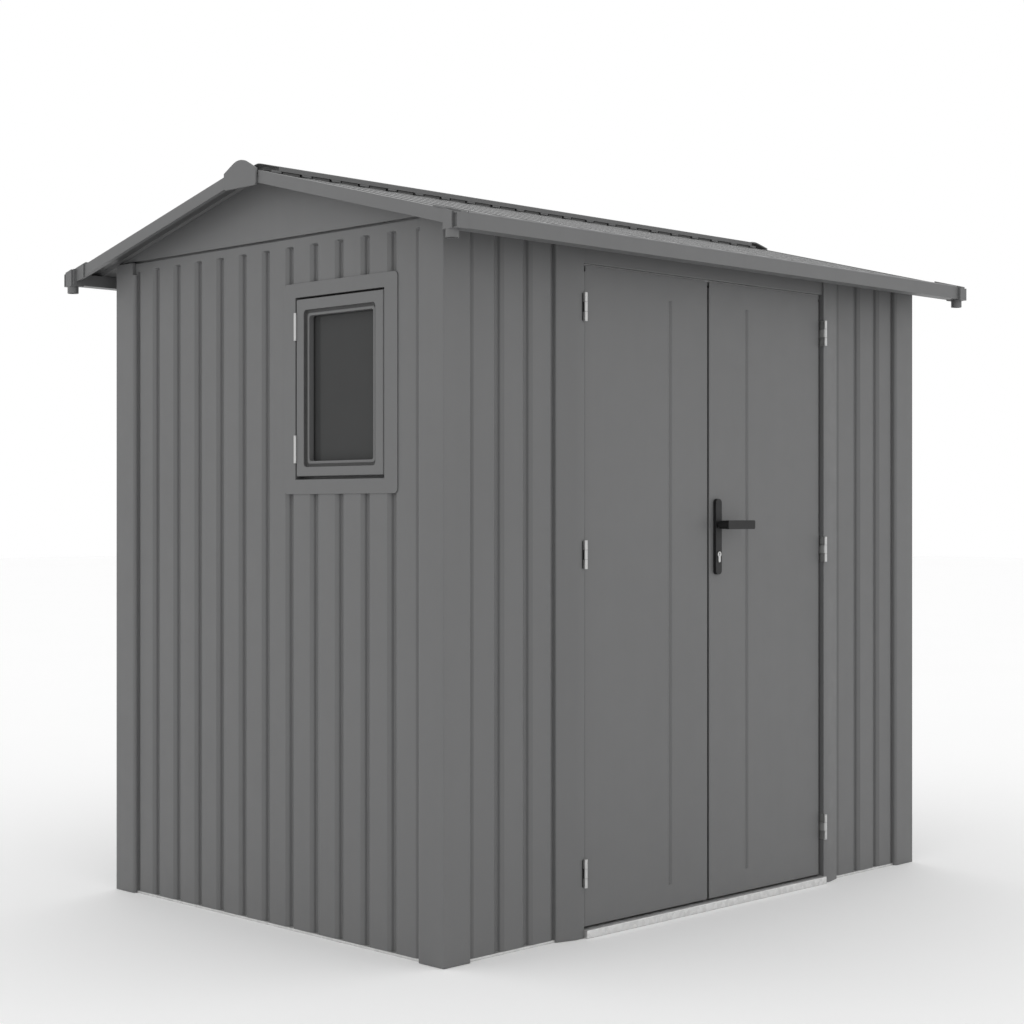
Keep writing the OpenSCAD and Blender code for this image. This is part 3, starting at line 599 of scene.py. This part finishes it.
HINGES = (0.182, 1.073, 1.766)
JAMB_Y = -0.771
for side, sx in (("left", -1), ("right", 1)):
    # black pad beside each hinge knuckle on the jamb face: painted shadow of the gap behind the pin
    bm = bmesh.new()
    for z in HINGES:
        prism(bm, slot_outline(0.0080, 0.078), lambda x, y, d, z=z: (sx * 0.5706 + x, d, z + y), JAMB_Y, JAMB_Y - 0.0004, 0.00015)
    finish_mesh(bm, side + "_hinge_shadow_pads", M_BLACK_RUBBER_AND_SHADE, "shed")
    bm = bmesh.new()
    for z in HINGES:
        for dz in (-0.031, -0.021, 0.021, 0.031):
            prism(bm, disc(0.0026), lambda x, y, d, z=z, dz=dz: (d, -0.7585 + x, z + dz + y), sx * 0.564, sx * 0.5632, 0.0003)
    finish_mesh(bm, side + "_hinge_screws", M_BRIGHT, "shed")

# black plates behind the ridge end caps, under the open end of the ridge cap: painted shade of the hollow end caps
def end_top(y):
    r, c = 0.069, math.radians(28)
    top = APEX + 0.0175
    if abs(y) < r * math.sin(c):
        return top - r + math.sqrt(r * r - y * y)
    return top - r * (1 - math.cos(c)) - (abs(y) - r * math.sin(c)) * math.tan(c)


ys = [-0.072 + 0.144 * i / 24 for i in range(25)]
for side, sx, drop in (("left", -1, 0.020), ("right", 1, 0.0025)):
    outline = [(y, max(end_top(y) - drop, rake(y) - 0.0095)) for y in ys] + [(y, rake(y) - 0.012) for y in reversed(ys)]
    bm = bmesh.new()
    prism(bm, outline, lambda x, y, d: (d, x, y), sx * 1.1728, sx * 1.1650, 0.0010)
    finish_mesh(bm, side + "_ridge_end_shade", M_BLACK_RUBBER_AND_SHADE, "shed")

# dark foam blocks between the roof ribs, behind the edges of the ridge cap; their dark grey also paints the shade in
# the openings under the cap
for side, sy in (("front", -1), ("back", 1)):
    bm = bmesh.new()
    for k in range(-10, 10):
        x0, x1 = k * PITCH + 0.0235, (k + 1) * PITCH - 0.0235
        lo, hi = rake(0.058) - 0.0115, rake(0.058) + 0.0042
        prism(bm, [(x0, lo), (x1, lo), (x1, hi), (x0, hi)], lambda x, z, d: (x, sy * d, z - TAN * (d - 0.058)), 0.058, 0.0672, 0.0008)
    finish_mesh(bm, side + "_ridge_filler_and_shade", M_FOAM, "shed")

# foam that closes each end of the ridge cap over the last rib
ye = [-0.060 + 0.120 * i / 20 for i in range(21)]
closure = [(y, rake(y) + 0.0030) for y in ye] + [(y, rake(max(abs(y), 0.012)) - (0.0018 if abs(y) > 0.0115 else 0.0100)) for y in reversed(ye)]
for side, sx in (("left", -1), ("right", 1)):
    bm = bmesh.new()
    prism(bm, closure, lambda x, y, d: (d, x, y), sx * 1.0855, sx * 1.0898, 0.0003)
    finish_mesh(bm, side + "_ridge_closure", M_FOAM, "shed")

# sleeve round each gutter outlet
for fb_name, sy in (("front", -1), ("back", 1)):
    for lr_name, sx in (("left", -1), ("right", 1)):
        bm = bmesh.new()
        rings = []
        for half, z in ((0.0146, 1.9089), (0.0174, 1.9089), (0.0174, 1.8880), (0.0171, 1.8873), (0.0165, 1.8870), (0.0146, 1.8870)):
            loop = rounded_loop(-half, half, -half, half, half - 0.0001)
            rings.append([bm.verts.new((sx * 1.1738 + x, sy * 0.8800 + y, z)) for x, y in loop])
        for a, b in zip(rings, rings[1:] + rings[:1]):
            for i in range(len(a)):
                j = (i + 1) % len(a)
                bm.faces.new([a[i], a[j], b[j], b[i]])
        finish_mesh(bm, fb_name + "_" + lr_name + "_outlet_sleeve", M_MOULD, "shed")

# rolled bead along the front lip of each gutter, in the lighter grey: a painted highlight along the lip
for side, sy in (("front", -1), ("back", 1)):
    bm = bmesh.new()
    xs = [-1.138 + 2.276 * i / 30 for i in range(31)]
    rows = []
    for x in xs:
        rows.append([bm.verts.new((x, sy * (0.9018 + 0.0023 * math.cos(2 * math.pi * i / 14)),
                                   1.9536 + 0.0023 * math.sin(2 * math.pi * i / 14))) for i in range(14)])
    for p, q in zip(rows, rows[1:]):
        for i in range(14):
            j = (i + 1) % 14
            bm.faces.new([p[i], p[j], q[j], q[i]])
    bm.faces.new(rows[0])
    bm.faces.new(rows[-1])
    finish_mesh(bm, side + "_gutter_bead", M_LIGHTENED_GREY, "shed")

# light grey strip on the lip of the door head, behind the gap over the leaves: painted light, so the gap reads as a
# faint line instead of a dark one
bm = bmesh.new()
prism(bm, [(-0.556, 1.8842), (0.556, 1.8842), (0.556, 1.8897), (-0.556, 1.8897)], lambda x, y, d: (x, d, y), -0.7533, -0.7537, 0.00012)
finish_mesh(bm, "head_gap_lightening_strip", M_GAP_LIGHT_GREY, "shed")

# key slot of the lock, a black plate: painted shade of the keyway
bm = bmesh.new()
prism(bm, slot_outline(0.0018, 0.0095), lambda x, y, d: (0.032 + x, d, 1.065 + y), -0.7738, -0.7744, 0.0002)
prism(bm, disc(0.0022), lambda x, y, d: (0.032 + x, d, 1.065 + 0.0030 + y), -0.7738, -0.7745, 0.0002)
finish_mesh(bm, "lock_key_slot", M_BLACK_RUBBER_AND_SHADE, "right_door")

# ------------------------------------------------------------------ stage and light
fm = Tree("floor_paint")
fn = fm.noise(0.9, 3, 0.5)
fm.link(fm.mix(fn, (0.972, 0.972, 0.972), (0.988, 0.988, 0.988)), fm.bsdf.inputs["Base Color"])
fm.link(fm.remap(fn, 0.3, 0.7, 0.85, 0.95), fm.bsdf.inputs["Roughness"])
fb = bmesh.new()
bmesh.ops.create_grid(fb, x_segments=8, y_segments=8, size=40)
fme = bpy.data.meshes.new("floor")
fb.to_mesh(fme)
fb.free()
floor = bpy.data.objects.new("floor", fme)
floor.location.z = -0.0005
fme.materials.append(fm.mat)
scene.collection.objects.link(floor)

world = bpy.data.worlds.new("world")
scene.world = world
world.use_nodes = True
bg = world.node_tree.nodes["Background"]
bg.inputs["Color"].default_value = (1, 1, 1, 1)
bg.inputs["Strength"].default_value = 1.0


def softbox(name, at, aim, size, power):
    d = bpy.data.lights.new(name, "AREA")
    d.shape = "RECTANGLE"
    d.size, d.size_y = size
    d.energy = power
    o = bpy.data.objects.new(name, d)
    o.location = at
    o.rotation_euler = (Vector(aim) - Vector(at)).to_track_quat("-Z", "Y").to_euler()
    scene.collection.objects.link(o)
    return o


scene.view_settings.view_transform = "Standard"
scene.view_settings.look = "None"
scene.view_settings.exposure = 0.0
scene.view_settings.gamma = 1.0
